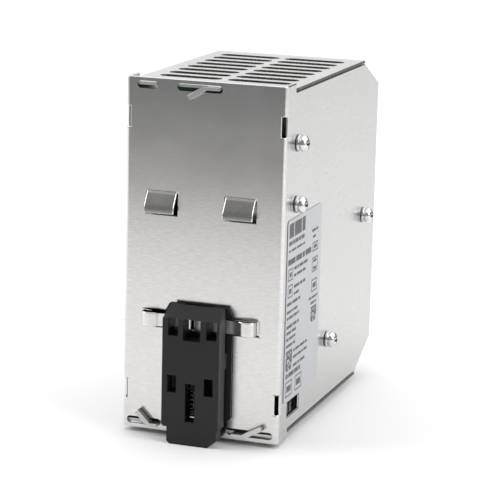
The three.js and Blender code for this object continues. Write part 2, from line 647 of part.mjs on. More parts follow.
function add(name, shape, finish, parent = caseFrame) {
  const { vertProperties, triVerts } = shape.getMesh();
  const geometry = new THREE.BufferGeometry();
  geometry.setAttribute('position', new THREE.BufferAttribute(vertProperties, 3));
  geometry.setIndex(new THREE.BufferAttribute(triVerts, 1));
  const mesh = new THREE.Mesh(geometry, new THREE.MeshStandardMaterial(FINISHES[finish]));
  mesh.name = name;
  parent.add(mesh);
  return mesh;
}

add('chassis', chassis(), 'sheet');
add('top_cover', topCover(), 'white_sheet');
add('bottom_cover', bottomCover(), 'white_sheet');
add('front_panel', frontPanel(), 'white_sheet');
add('side_label', sideLabel(), 'label');

add('rail_clip', railClip(), 'black');
add('clip_spring', clipSpring(), 'spring');

SIDE_SCREWS.forEach(([y, z], index) => {
  const screw = add(`left_screw_${index + 1}`, panScrew(4.4), 'chrome');
  screw.position.set(-HALF, y, z);
  screw.rotation.set(0, -Math.PI / 2, 0);
});
BOARD_SCREWS.forEach(([y, z], index) => {
  const screw = add(`right_screw_${index + 1}`, panScrew(5), 'chrome');
  screw.position.set(HALF, y, z);
  screw.rotation.set(0, Math.PI / 2, 0);
  add(`board_spacer_${index + 1}`, boardSpacer(y, z), 'brass');
});

add('selector_housing', selectorHousing(), 'black');
add('selector_slider', selectorSlider(), 'black');

add('indicator_board', block(-20, 20, -104, -102.4, 77, 95), 'board');
add('indicator_lens', indicatorLens(), 'lens_green');
add('trimmer_body', trimmerBody(), 'blue');
add('trimmer_dial', trimmerDial(), 'white');

add('output_block', terminalHousing(OUTPUT_POLES), 'green');
add('input_block', upsideDown(terminalHousing(INPUT_POLES)), 'green');
OUTPUT_POLES.forEach((pole, index) => {
  add(`output_screw_${index + 1}`, terminalScrew(pole), 'chrome');
  add(`output_clamp_${index + 1}`, clampCage(pole), 'brass');
});
INPUT_POLES.forEach((pole, index) => {
  add(`input_screw_${index + 1}`, upsideDown(terminalScrew(pole)), 'chrome');
  add(`input_clamp_${index + 1}`, upsideDown(clampCage(pole)), 'brass');
});
add('positive_bar', contactBar(OUTPUT_POLES.slice(0, 2)), 'copper');
add('negative_bar', contactBar(OUTPUT_POLES.slice(2)), 'copper');
INPUT_POLES.forEach((pole, index) => {
  add(`input_bar_${index + 1}`, upsideDown(contactBar([pole])), 'copper');
});

add('main_board', mainBoard(), 'board');
add('insulating_film', insulatingFilm(), 'film');
add('output_heatsink', heatSink(72, 114, -20.5, -6.5, SIDE_SCREWS.slice(0, 2)), 'aluminium');
add('primary_heatsink', heatSink(14, 56, -61, -47, SIDE_SCREWS.slice(3)), 'aluminium');
add('rectifier', powerDevice(2, -9.3, 100), 'device');
add('switching_transistor', powerDevice(2, -49.8, 40), 'device');
add('transformer_core', transformerCore(), 'ferrite');
add('transformer_winding', transformerWinding(), 'tape');
add('bulk_capacitor_1', capacitor(11, 30, -32, 43), 'capacitor');
add('bulk_capacitor_2', capacitor(11, 30, -32, 19.5), 'capacitor');
add('output_capacitor_1', capacitor(6.5, 24, -76, 108), 'capacitor');
add('output_capacitor_2', capacitor(6.5, 24, -76, 93), 'capacitor');
add('input_choke', commonModeChoke(), 'copper');
add('fuse', fuse(), 'glass');

export default supply;
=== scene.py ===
"""Rail-mounted power supply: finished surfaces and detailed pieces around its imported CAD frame."""

import json
import math

import bpy
from mathutils import Matrix, Vector


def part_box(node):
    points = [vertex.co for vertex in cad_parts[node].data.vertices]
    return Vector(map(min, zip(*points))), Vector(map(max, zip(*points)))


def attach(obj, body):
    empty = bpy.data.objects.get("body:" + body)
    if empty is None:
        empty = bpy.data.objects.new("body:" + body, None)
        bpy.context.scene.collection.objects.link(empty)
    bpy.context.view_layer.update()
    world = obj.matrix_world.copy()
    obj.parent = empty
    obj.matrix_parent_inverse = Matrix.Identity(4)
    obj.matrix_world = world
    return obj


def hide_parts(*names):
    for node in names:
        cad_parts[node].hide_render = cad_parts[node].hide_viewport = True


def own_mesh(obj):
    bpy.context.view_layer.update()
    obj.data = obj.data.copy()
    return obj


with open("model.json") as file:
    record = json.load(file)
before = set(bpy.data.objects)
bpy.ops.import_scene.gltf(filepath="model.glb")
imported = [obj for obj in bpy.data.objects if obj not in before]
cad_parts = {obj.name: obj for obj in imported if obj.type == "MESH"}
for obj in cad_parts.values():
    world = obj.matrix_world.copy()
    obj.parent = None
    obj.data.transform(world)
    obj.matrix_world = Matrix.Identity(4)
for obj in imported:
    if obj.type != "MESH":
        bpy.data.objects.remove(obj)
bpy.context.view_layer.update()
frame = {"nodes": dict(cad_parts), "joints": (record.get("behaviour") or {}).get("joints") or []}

bl_info = {
    "name": "Rail Power Supply",
    "version": (1, 0, 0),
    "blender": (4, 5, 0),
    "location": "3D View > Sidebar > Supply",
    "description": "Builds the visible pieces and finishes of a rail-mounted power supply",
    "category": "Object",
}

MM = 0.001
FULL_TURN = 2 * math.pi

CASE_DEPTH = 111 * MM                                 # front edge to back plate
BACK_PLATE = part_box("chassis")[0].y + CASE_DEPTH      # plane of the back plate's outer face
SIDE_FACE = 29 * MM                                   # side panels' outer faces, from the middle
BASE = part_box("chassis")[0].z                         # the case's lowest edge

# Heights above the case's lowest edge, and distances from the middle, of the chassis's formed parts.
HOOKS_LOW, HOOKS_HIGH = 77.5 * MM, 90 * MM
TONGUES_LOW, TONGUES_HIGH, TONGUES_OUT = 36 * MM, 45 * MM, 24 * MM
BENDS_LOW, BENDS_HIGH, BENDS_IN = 1 * MM, 118 * MM, 27 * MM


# ---- shader helpers ----
class Value:
    """A number on a node's output; Python's operators add Math nodes to it."""

    def __init__(self, paint, socket):
        self.paint = paint
        self.socket = socket

    def _with(self, operation, other):
        return self.paint.node("ShaderNodeMath", {"operation": operation}, {0: self, 1: other})

    def _before(self, operation, other):
        return self.paint.node("ShaderNodeMath", {"operation": operation}, {0: other, 1: self})

    def __add__(self, other):
        return self._with("ADD", other)

    __radd__ = __add__

    def __mul__(self, other):
        return self._with("MULTIPLY", other)

    __rmul__ = __mul__

    def __sub__(self, other):
        return self._with("SUBTRACT", other)

    def __rsub__(self, other):
        return self._before("SUBTRACT", other)

    def between(self, low, high):
        """0 at low, 1 at high, in a straight line and no further."""
        settings = {"clamp": True}
        return self.paint.node("ShaderNodeMapRange", settings, {0: self, 1: low, 2: high, 3: 0.0, 4: 1.0})


class Paint:
    """A material with one Principled shader, built up from small nodes."""

    def __init__(self, name, colour, roughness, metallic=0.0, **fixed):
        self.material = bpy.data.materials.new(name)
        self.material.use_nodes = True
        self.tree = self.material.node_tree
        self.shader = self.tree.nodes["Principled BSDF"]
        self.shader.inputs["Base Color"].default_value = (*colour, 1.0)
        self.shader.inputs["Roughness"].default_value = roughness
        self.shader.inputs["Metallic"].default_value = metallic
        for socket, value in fixed.items():
            self.shader.inputs[socket.replace("_", " ")].default_value = value

    def node(self, kind, settings, inputs, output=0):
        """Adds a node, sets it, then fills its sockets with values or links; gives one output."""
        made = self.tree.nodes.new(kind)
        for name, value in settings.items():
            setattr(made, name, value)
        for key, value in inputs.items():
            socket = made.inputs[key]
            if isinstance(value, Value):
                self.tree.links.new(value.socket, socket)
            else:
                socket.default_value = value
        return Value(self, made.outputs[output])

    def place(self, scale=(1, 1, 1), turn=(0, 0, 0)):
        """Object coordinates in metres, scaled axis by axis."""
        coordinates = self.node("ShaderNodeTexCoord", {}, {}, "Object")
        return self.node("ShaderNodeMapping", {}, {"Vector": coordinates, "Scale": scale, "Rotation": turn})

    def axis(self, index):
        """One object coordinate in millimetres."""
        return self.node("ShaderNodeSeparateXYZ", {}, {0: self.place((1000, 1000, 1000))}, index)

    def noise(self, scale, stretch=(1, 1, 1), detail=4.0, rough=0.55):
        inputs = {"Vector": self.place(stretch), "Scale": scale, "Detail": detail, "Roughness": rough}
        return self.node("ShaderNodeTexNoise", {}, inputs, "Fac")

    def mix(self, factor, first, second):
        return self.node(
            "ShaderNodeMix", {"data_type": "RGBA"},
            {0: factor, 6: first if isinstance(first, Value) else (*first, 1.0),
             7: second if isinstance(second, Value) else (*second, 1.0)}, 2)

    def set(self, socket, value):
        self.tree.links.new(value.socket, self.shader.inputs[socket])
        return self

    def bump(self, height, depth, strength=1.0):
        normal = self.node("ShaderNodeBump", {}, {"Height": height, "Distance": depth, "Strength": strength})
        return self.set("Normal", normal)


def shade(colour, factor):
    """The colour made darker or lighter, no channel past 1."""
    return tuple(min(1.0, channel * factor) for channel in colour)


# ---- finishes ----
def sheet_finish(name, colour, grain, roughness, sheen_change=0.05):
    """Rolled sheet steel: long fine grain along the sheet, soft blotches and a few rub marks."""
    paint = Paint(name, colour, roughness, metallic=1.0)
    fine = paint.noise(1.0, grain, detail=3.0, rough=0.6)
    blotch = paint.noise(38.0, detail=5.0, rough=0.6)
    rubbed = paint.noise(120.0, (1, 1, 3), detail=6.0, rough=0.7).between(0.62, 0.72)
    tone = paint.mix(blotch.between(0.3, 0.75), shade(colour, 0.93), shade(colour, 1.04))
    tone = paint.mix(fine.between(0.3, 0.75), tone, shade(colour, 0.82))
    paint.set("Base Color", tone)
    paint.set("Roughness", roughness + (blotch - 0.5) * sheen_change * 2 + fine * 0.1 + rubbed * 0.05)
    return paint.bump(fine, 0.000012, 0.35).material


def edge_shade_finish(name, colour):
    """Cut edge of the sheet: dull, torn in fine lines across its thickness, and coloured dark as painted
    shade in the slot walls and along the panel edges.
    """
    paint = Paint(name, colour, 0.5, metallic=0.85)
    torn = paint.noise(1.0, (1400, 1400, 260), detail=5.0, rough=0.7)
    paint.set("Base Color", paint.mix(torn.between(0.35, 0.65), shade(colour, 0.45), shade(colour, 1.5)))
    paint.set("Roughness", 0.42 + torn * 0.25)
    return paint.bump(torn, 0.00004, 0.6).material


def zinc_finish(name, colour, roughness=0.14):
    """Bright plated fastener with fine specks and handling marks."""
    paint = Paint(name, colour, roughness, metallic=1.0)
    speck = paint.noise(900.0, detail=4.0)
    paint.set("Base Color", paint.mix(speck.between(0.35, 0.7), shade(colour, 0.85), colour))
    paint.set("Roughness", roughness + speck.between(0.45, 0.75) * 0.16)
    return paint.bump(speck, 0.00001, 0.3).material


def moulded_finish(name, colour, roughness, texture=0.00002, grain=1500.0):
    """Moulded plastic: an eroded texture with a little flow shading and lighter rubbed spots."""
    paint = Paint(name, colour, roughness, Specular_IOR_Level=0.36)
    pits = paint.noise(grain, detail=2.0)
    flow = paint.noise(70.0, (1, 1, 0.4), detail=4.0)
    dust = paint.noise(420.0, detail=5.0, rough=0.7).between(0.64, 0.78)
    tone = paint.mix(flow.between(0.3, 0.7), shade(colour, 0.82), shade(colour, 1.18))
    paint.set("Base Color", paint.mix(dust * 0.22, tone, shade(colour, 2.2)))
    paint.set("Roughness", roughness + (flow - 0.5) * 0.18 + pits * 0.06)
    return paint.bump(pits, texture, 0.6).material


def metal_finish(name, colour, roughness, grain=(30, 30, 900)):
    """Drawn or extruded metal with grain along the piece."""
    paint = Paint(name, colour, roughness, metallic=1.0)
    line = paint.noise(1.0, grain, detail=3.0)
    stain = paint.noise(160.0, detail=5.0)
    tone = paint.mix(stain.between(0.35, 0.75), shade(colour, 0.8), shade(colour, 1.05))
    paint.set("Base Color", tone)
    paint.set("Roughness", roughness + line * 0.15 + (stain - 0.5) * 0.1)
    return paint.bump(line, 0.00001, 0.35).material


def label_finish(name, colour):
    """Silver film with a satin face."""
    paint = Paint(name, colour, 0.42, metallic=0.35)
    haze = paint.noise(60.0, detail=4.0)
    fleck = paint.noise(4000.0, detail=1.0)
    paint.set("Base Color", paint.mix(fleck.between(0.3, 0.8), shade(colour, 0.94), shade(colour, 1.05)))
    paint.set("Roughness", 0.36 + haze * 0.14)
    return paint.bump(haze, 0.00002, 0.3).material


def ink_finish(name, colour):
    """Printed ink, thin enough in places for the film to show."""
    paint = Paint(name, colour, 0.5, Specular_IOR_Level=0.3)
    wear = paint.noise(900.0, detail=4.0, rough=0.7)
    paint.set("Base Color", paint.mix(wear.between(0.4, 0.8), colour, shade(colour, 1.8)))
    paint.set("Roughness", 0.45 + wear * 0.15)
    return paint.material


def board_finish(name, colour):
    """Solder-masked laminate: darker weave and paler tracks."""
    paint = Paint(name, colour, 0.4, IOR=1.5)
    weave = paint.node("ShaderNodeTexWave", {"wave_type": "BANDS"}, {"Vector": paint.place(), "Scale": 900.0})
    track = paint.node(
        "ShaderNodeTexBrick", {"offset": 0.5},
        {"Vector": paint.place((1, 1, 1), (0, math.pi / 2, 0)), "Scale": 60.0, "Mortar Size": 0.03}, "Fac")
    tone = paint.mix(track, shade(colour, 1.5), colour)
    paint.set("Base Color", paint.mix(weave * 0.2, tone, shade(colour, 0.7)))
    paint.set("Roughness", 0.35 + weave * 0.1)
    return paint.bump(track, 0.00003, 0.5).material


def clear_finish(name, colour, roughness, transmission):
    """Clear glass with a slight haze."""
    paint = Paint(name, colour, roughness, Transmission_Weight=transmission, IOR=1.46)
    haze = paint.noise(300.0, detail=3.0)
    paint.set("Roughness", roughness + haze * 0.08)
    return paint.material


# ---- model helpers ----
def select_only(piece):
    bpy.ops.object.select_all(action="DESELECT")
    piece.select_set(True)
    bpy.context.view_layer.objects.active = piece


def add_piece(name, body, finish, stands_for=()):
    """Names the active new object, bakes its place into its mesh and puts it on its body."""
    piece = bpy.context.view_layer.objects.active
    piece.name = name
    piece.data.name = name
    select_only(piece)
    bpy.ops.object.transform_apply(location=True, rotation=True, scale=True)
    piece.data.materials.clear()
    piece.data.materials.append(finish)
    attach(piece, body)
    if stands_for:
        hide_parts(*stands_for)
    return piece


def modify(piece, kind, **settings):
    """Adds a modifier with these settings and applies it."""
    select_only(piece)
    modifier = piece.modifiers.new(kind.title(), kind)
    for name, value in settings.items():
        setattr(modifier, name, value)
    bpy.ops.object.modifier_apply(modifier=modifier.name)


def soften(piece, width, segments=2, angle=32):
    """Rounds the edges sharper than the angle; broad faces keep their own normals."""
    modify(piece, "BEVEL", width=width, segments=segments, limit_method="ANGLE",
           angle_limit=math.radians(angle), use_clamp_overlap=True)
    level_normals(piece)


def level_normals(piece):
    """Smooth shading in which the broad faces keep their own normals and corners stay crisp."""
    select_only(piece)
    bpy.ops.object.shade_smooth_by_angle(angle=math.radians(50))
    modify(piece, "WEIGHTED_NORMAL", mode="FACE_AREA", weight=70, keep_sharp=True)


def round_edges(piece, width, segments, chosen, clamp=True, angle=32):
    """Rounds the sharp edges whose two ends are both chosen by their place."""
    select_only(piece)
    bpy.ops.object.mode_set(mode="EDIT")
    bpy.ops.mesh.select_mode(type="EDGE")
    bpy.ops.mesh.select_all(action="DESELECT")
    bpy.ops.mesh.edges_select_sharp(sharpness=math.radians(angle))
    bpy.ops.object.mode_set(mode="OBJECT")
    mesh = piece.data
    for edge in mesh.edges:
        edge.select = edge.select and all(chosen(mesh.vertices[index].co) for index in edge.vertices)
    bpy.ops.object.mode_set(mode="EDIT")
    bpy.ops.mesh.bevel(offset=width, segments=segments, affect="EDGES", clamp_overlap=clamp)
    bpy.ops.object.mode_set(mode="OBJECT")


def merged_copy(node):
    """A copy of a CAD node with its doubles merged and its flat faces joined."""
    source = frame["nodes"][node]
    piece = bpy.data.objects.new(f"{node}_formed", source.data.copy())
    bpy.context.scene.collection.objects.link(piece)
    select_only(piece)
    bpy.ops.object.mode_set(mode="EDIT")
    bpy.ops.mesh.select_all(action="SELECT")
    bpy.ops.mesh.remove_doubles(threshold=2e-6)
    bpy.ops.mesh.dissolve_limited(angle_limit=math.radians(0.4))
    bpy.ops.object.mode_set(mode="OBJECT")
    return piece


def formed_copy(node, finish, edge, segments=2, body="case"):
    """A merged copy of a CAD node with its edges rounded, in place of the node."""
    piece = merged_copy(node)
    soften(piece, edge, segments)
    return add_piece(piece.name, body, finish, (node,))


def face_finish(piece, finish, chosen):
    """Gives a second finish to the faces that are chosen by their normal and place."""
    piece.data.materials.append(finish)
    for face in piece.data.polygons:
        if chosen(face.normal, face.center):
            face.material_index = len(piece.data.materials) - 1


def circle_stack(rings, sides, place, turn):
    """A turned solid: a filled circle drawn out ring by ring; each ring is (radius, height)."""
    (radius, height), *rest = rings
    bpy.ops.object.select_all(action="DESELECT")
    bpy.ops.mesh.primitive_circle_add(
        vertices=sides, radius=radius, fill_type="NGON", location=(0, 0, height))
    piece = bpy.context.view_layer.objects.active
    bpy.ops.object.transform_apply(location=True, rotation=True, scale=True)
    bpy.ops.object.mode_set(mode="EDIT")
    bpy.ops.mesh.select_all(action="SELECT")
    for next_radius, next_height in rest:
        bpy.ops.mesh.extrude_region_move(TRANSFORM_OT_translate={"value": (0, 0, next_height - height)})
        ratio = next_radius / radius
        bpy.ops.transform.resize(value=(ratio, ratio, 1), center_override=(0, 0, next_height))
        radius, height = next_radius, next_height
    bpy.ops.mesh.select_all(action="SELECT")
    bpy.ops.mesh.normals_make_consistent(inside=False)
    bpy.ops.object.mode_set(mode="OBJECT")
    piece.matrix_world = Matrix.Translation(place) @ turn.to_4x4()
    select_only(piece)
    bpy.ops.object.transform_apply(location=True, rotation=True, scale=True)
    return piece


def cutter_box(size, place, turn):
    """A box of this size, placed and turned, to cut with."""
    bpy.ops.object.select_all(action="DESELECT")
    bpy.ops.mesh.primitive_cube_add(size=1)
    cutter = bpy.context.view_layer.objects.active
    cutter.matrix_world = Matrix.Translation(place) @ turn.to_4x4() @ Matrix.Diagonal((*size, 1))
    select_only(cutter)
    bpy.ops.object.transform_apply(location=True, rotation=True, scale=True)
    return cutter


def carve(piece, *cutters):
    """Cuts each cutter out of the piece and removes the cutter."""
    for cutter in cutters:
        modify(piece, "BOOLEAN", operation="DIFFERENCE", object=cutter, solver="EXACT")
        bpy.data.objects.remove(cutter, do_unlink=True)


# ---- settings shown in the sidebar ----
class SupplyFinish(bpy.types.PropertyGroup):
    """Colours of the supply's surfaces and the rounding of its sheet"""

    steel: bpy.props.FloatVectorProperty(
        name="Sheet steel", description="Colour of the case's bare sheet", subtype="COLOR",
        default=(0.755, 0.745, 0.73))
    # The side panels' colour is a darker copy of the sheet steel: painted shade on the case's sides.
    panel: bpy.props.FloatVectorProperty(
        name="Side panels", description="Colour of the side panels, darker than the sheet steel as painted shade",
        subtype="COLOR", default=(0.595, 0.59, 0.585))
    cover: bpy.props.FloatVectorProperty(
        name="Covers", description="Colour of the vented covers and the front panel", subtype="COLOR",
        default=(0.64, 0.64, 0.635))
    plastic: bpy.props.FloatVectorProperty(
        name="Clip plastic", description="Colour of the rail clip and the selector", subtype="COLOR",
        default=(0.008, 0.008, 0.0085))
    terminal: bpy.props.FloatVectorProperty(
        name="Terminal plastic", description="Colour of the terminal blocks", subtype="COLOR",
        default=(0.007, 0.026, 0.014))
    label: bpy.props.FloatVectorProperty(
        name="Label film", description="Colour of the silver label", subtype="COLOR",
        default=(0.475, 0.48, 0.50))
    ink: bpy.props.FloatVectorProperty(
        name="Label ink", description="Colour of the printed bars and boxes", subtype="COLOR",
        default=(0.075, 0.075, 0.08))
    edge: bpy.props.FloatProperty(
        name="Sheet edge", description="Rounding of the sheet's cut edges", unit="LENGTH", default=0.22 * MM)


class SupplyStage(bpy.types.PropertyGroup):
    """Camera and lights"""

    azimuth: bpy.props.FloatProperty(
        name="Azimuth", description="Direction of the camera round the supply", subtype="ANGLE",
        default=math.radians(199.157))
    elevation: bpy.props.FloatProperty(
        name="Elevation", description="Height of the camera above the horizon", subtype="ANGLE",
        default=math.radians(12.558))
    roll: bpy.props.FloatProperty(
        name="Roll", description="Turn of the camera about its line of sight", subtype="ANGLE",
        default=math.radians(1.388))
    distance: bpy.props.FloatProperty(
        name="Distance", description="From the camera to the point that it looks at", unit="LENGTH",
        default=0.50764)
    target: bpy.props.FloatVectorProperty(
        name="Target", description="Point that the camera looks at, from the foot of the back plate",
        subtype="TRANSLATION", unit="LENGTH", default=(-0.0893, 0.20753, 0.11681))
    canopy: bpy.props.FloatProperty(
        name="Canopy", description="Brightness of the light overhead", default=1.17)
    card: bpy.props.FloatProperty(
        name="Card", description="Brightness of the lights at the sides", default=4.2)
    room: bpy.props.FloatProperty(name="Room", description="Brightness of the room", default=0.3)
    lens: bpy.props.FloatProperty(name="Lens", description="Focal length in millimetres", default=155.08)


def finish_settings():
    return bpy.context.scene.supply_finish


# ---- operators ----
class SheetMetal(bpy.types.Operator):
    """Forms the chassis, the vented covers and the front panel with rounded sheet edges"""

    bl_idname = "supply.sheet_metal"
    bl_label = "Sheet metal"

    def execute(self, context):
        look = finish_settings()
        steel = sheet_finish("rolled_steel", tuple(look.steel), (350, 350, 2400), 0.16)
        cover = sheet_finish("cover_steel", tuple(look.cover), (25, 2600, 25), 0.33)
        edge_shade = edge_shade_finish("sheared_edge_painted_shade", (0.13, 0.128, 0.125))
        slots_end = BACK_PLATE - 4 * MM
        # a darker copy of the steel for the side panels: painted shade
        panel = sheet_finish("panel_steel_painted_shade", tuple(look.panel), (900, 900, 900), 0.2)
        # a darker copy of the steel for the hooks' outer faces: painted shade
        hook_face_shade = sheet_finish("hook_face_painted_shade", shade(look.steel, 0.62), (700, 700, 700), 0.2, 0.12)
        self.chassis(steel, panel, edge_shade, hook_face_shade, look.edge)
        for node in ("top_cover", "bottom_cover"):
            piece = formed_copy(node, cover, look.edge)
            # the covers' slot walls and cut edges get the dark edge finish: painted shade in the slots
            face_finish(piece, edge_shade, lambda normal, place: abs(normal.z) < 0.97 and place.y < slots_end)
        formed_copy("front_panel", cover, look.edge)
        return {"FINISHED"}

    def chassis(self, finish, panel, edge_shade, hook_face_shade, edge):
        """Hooks have rounder edges and darker outer faces, a painted shade; the thin tongues and the bends'
        windows keep their edges sharp.
        """
        piece = merged_copy("chassis")

        def on_hook(point):
            off_plate = point.y > BACK_PLATE + 0.45 * MM
            return off_plate and HOOKS_LOW < point.z - BASE < HOOKS_HIGH

        def stays_sharp(point):
            tongue = TONGUES_LOW < point.z - BASE < TONGUES_HIGH and abs(point.x) < TONGUES_OUT
            bend = abs(point.x) > BENDS_IN and BENDS_LOW < point.z - BASE < BENDS_HIGH
            return point.y > BACK_PLATE - 2.5 * MM and (tongue or bend)

        bends = BACK_PLATE - 1.5 * MM

        def on_outline(point):
            return abs(point.x) > SIDE_FACE - 0.05 * MM and point.y < bends - 1 * MM

        round_edges(piece, 0.38 * MM, 3, on_hook, clamp=False)
        round_edges(piece, 0.3 * MM, 2, on_outline, clamp=False)
        round_edges(piece, edge, 2, lambda point: not stays_sharp(point) and not on_hook(point))
        level_normals(piece)
        add_piece(piece.name, "case", finish, ("chassis",))
        outer = SIDE_FACE - 0.3 * MM
        # the side panels' faces take the darker copy of the steel: painted shade
        face_finish(piece, panel, lambda normal, place: abs(normal.x) > 0.97 and place.y < bends)
        # the side panels' cut edges get the dark edge finish: painted shade outlining the panels
        face_finish(piece, edge_shade, lambda normal, place: (
            abs(normal.x) < 0.97 and place.y < bends - 1 * MM and abs(place.x) > outer))
        # the hooks' outer faces are coloured darker: painted shade for their dim reflection
        face_finish(piece, hook_face_shade, lambda normal, place: (
            on_hook(place) and normal.y > 0.4 and abs(normal.x) < 0.2 and place.y > BACK_PLATE + 0.6 * MM))


class RailClip(bpy.types.Operator):
    """Moulds the sliding rail clip and winds its spring"""

    bl_idname = "supply.rail_clip"
    bl_label = "Rail clip"

    def execute(self, context):
        look = finish_settings()
        plastic = moulded_finish("clip_plastic", tuple(look.plastic), 0.42)
        # The clip's side faces get a paler copy of the black plastic: a painted highlight for the light
        # falling on its sides.
        painted_light_colour = tuple(5 * channel for channel in look.plastic)
        painted_light_sides = moulded_finish("clip_plastic_painted_light", painted_light_colour, 0.5)
        clip = formed_copy("rail_clip", plastic, 0.25 * MM, segments=3, body="clip")
        outside = 9 * MM
        face_finish(clip, painted_light_sides, lambda normal, place: abs(normal.x) > 0.6 and abs(place.x) > outside)
        self.spring()
        return {"FINISHED"}

    def spring(self):
        """Winds the clip's spring and puts it on the case; it does not squash when the clip slides."""
        low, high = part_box("clip_spring")
        wire = 0.28 * MM
        turns = 8.5
        steps = 36
        middle = (low + high) / 2
        radius = (high.x - low.x) / 2 - wire
        curve = bpy.data.curves.new("clip_spring_wire", "CURVE")
        curve.dimensions = "3D"
        curve.bevel_depth = wire
        curve.bevel_resolution = 4
        spline = curve.splines.new("POLY")
        count = int(turns * steps)
        spline.points.add(count)
        bottom, top = low.z + wire, high.z - wire
        for index, point in enumerate(spline.points):
            share = index / count
            # the end turns close up, as ground spring ends do
            eased = share - 0.055 * math.sin(FULL_TURN * share)
            angle = FULL_TURN * turns * share
            point.co = (middle.x + radius * math.cos(angle), middle.y + radius * math.sin(angle),
                        bottom + (top - bottom) * eased, 1)
        wound = bpy.data.objects.new("clip_spring_wire", curve)
        bpy.context.scene.collection.objects.link(wound)
        select_only(wound)
        bpy.ops.object.convert(target="MESH")
        steel = metal_finish("spring_steel", (0.07, 0.07, 0.072), 0.25, (900, 900, 900))
        piece = add_piece("clip_spring_wound", "case", steel, ("clip_spring",))
        bpy.ops.object.shade_smooth()
        travel = next(j for j in frame["joints"] if j["name"] == "clip_slide")["range_m"][1]
        keep = 1 - travel / (high.z - low.z)
        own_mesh(piece)


class SideScrews(bpy.types.Operator):
    """Turns the pan-head screws of both side panels, with their captive washers and recesses"""

    bl_idname = "supply.side_screws"
    bl_label = "Side screws"

    def execute(self, context):
        zinc = zinc_finish("bright_zinc", (0.78, 0.79, 0.80))
        for side in ("left", "right"):
            for index in range(1, 5):
                self.screw(f"{side}_screw_{index}", -1 if side == "left" else 1, zinc)
        return {"FINISHED"}

    def screw(self, node, side, finish):
        """Turns one screw in its CAD node's place, then cuts its slot and cross."""
        low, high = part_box(node)
        middle = (low + high) / 2
        face = side * SIDE_FACE
        place = Vector((face, middle.y, middle.z))
        turn = Matrix.Rotation(side * math.pi / 2, 3, "Y")
        tip = (abs(low.x) if side > 0 else abs(high.x)) - SIDE_FACE
        radius = (high.z - low.z) / 2
        rings = [
            (0.47, tip / MM), (0.47, 0.3), (1.0, 0.3), (1.0, 0.95), (0.97, 1.08), (0.80, 1.12), (0.80, 1.34),
            (0.94, 1.42), (0.96, 1.7), (0.95, 2.1), (0.90, 2.6), (0.81, 3.05), (0.67, 3.45), (0.48, 3.74),
            (0.26, 3.92), (0.06, 3.98),
        ]
        scaled = [(share * radius, height * MM) for share, height in rings]
        scaled[0] = (scaled[0][0], -abs(tip))
        screw = circle_stack(scaled, 48, place, turn)
        outward = Vector((side, 0, 0))
        top = place + outward * 4.1 * MM
        across = turn @ Matrix.Rotation(math.pi / 2, 3, "Z")
        slot = cutter_box((0.8 * MM, 8 * MM, 2.6 * MM), top, across)
        cross = cutter_box((3.5 * MM, 0.85 * MM, 3.6 * MM), top, across)
        carve(screw, slot, cross)
        soften(screw, 0.06 * MM, 2, 40)
        add_piece(f"{node}_turned", "case", finish, (node,))


# One printed line each: its start and end in from the label's rear edge, its middle below the
# label's top, its height, and how many words it is broken into, all in millimetres.
LABEL_LINES = (
    (1.4, 18.9, 3.9, 5.0, 3), (1.4, 18.2, 8.3, 1.4, 7), (1.4, 19.1, 11.0, 0.8, 4),
    (0.9, 26.4, 14.9, 2.0, 4), (7.7, 22.4, 18.0, 1.1, 4), (7.7, 20.4, 20.5, 1.0, 3),
    (7.9, 20.4, 24.5, 1.1, 3), (7.9, 13.4, 27.0, 1.0, 2), (0.9, 15.4, 29.7, 1.1, 3),
    (0.9, 12.4, 32.5, 1.0, 3), (0.9, 14.4, 34.7, 1.0, 4), (0.9, 14.4, 37.8, 1.1, 3),
    (0.9, 11.4, 40.0, 1.0, 2), (0.9, 10.9, 42.2, 1.0, 3), (0.9, 10.9, 44.6, 1.0, 2),
    (9.1, 24.4, 47.5, 1.0, 4), (9.1, 24.4, 50.0, 1.0, 4), (9.1, 22.1, 53.0, 1.0, 3),
    (1.4, 17.4, 55.4, 1.6, 4), (26.9, 33.9, 8.5, 1.0, 2), (27.9, 31.4, 10.8, 0.9, 1),
    (25.4, 35.4, 33.0, 0.9, 3), (27.4, 33.9, 35.0, 0.9, 2),
)
# Framed boxes: from, to, top and bottom in the same way, then how many rows of cells they hold.
LABEL_BOXES = (
    (1.4, 6.4, 17.3, 21.5, 1), (1.4, 6.4, 23.0, 27.5, 1), (1.4, 8.7, 57.5, 63.0, 1),
    (11.9, 19.2, 57.5, 63.0, 1), (27.9, 34.2, 13.0, 16.3, 1), (27.9, 34.2, 18.5, 23.8, 2),
    (27.9, 34.2, 26.5, 31.0, 1),
)
# Dense squares of small cells.
LABEL_CODES = ((0.9, 7.9, 46.4, 53.6), (27.9, 34.2, 36.4, 42.0))


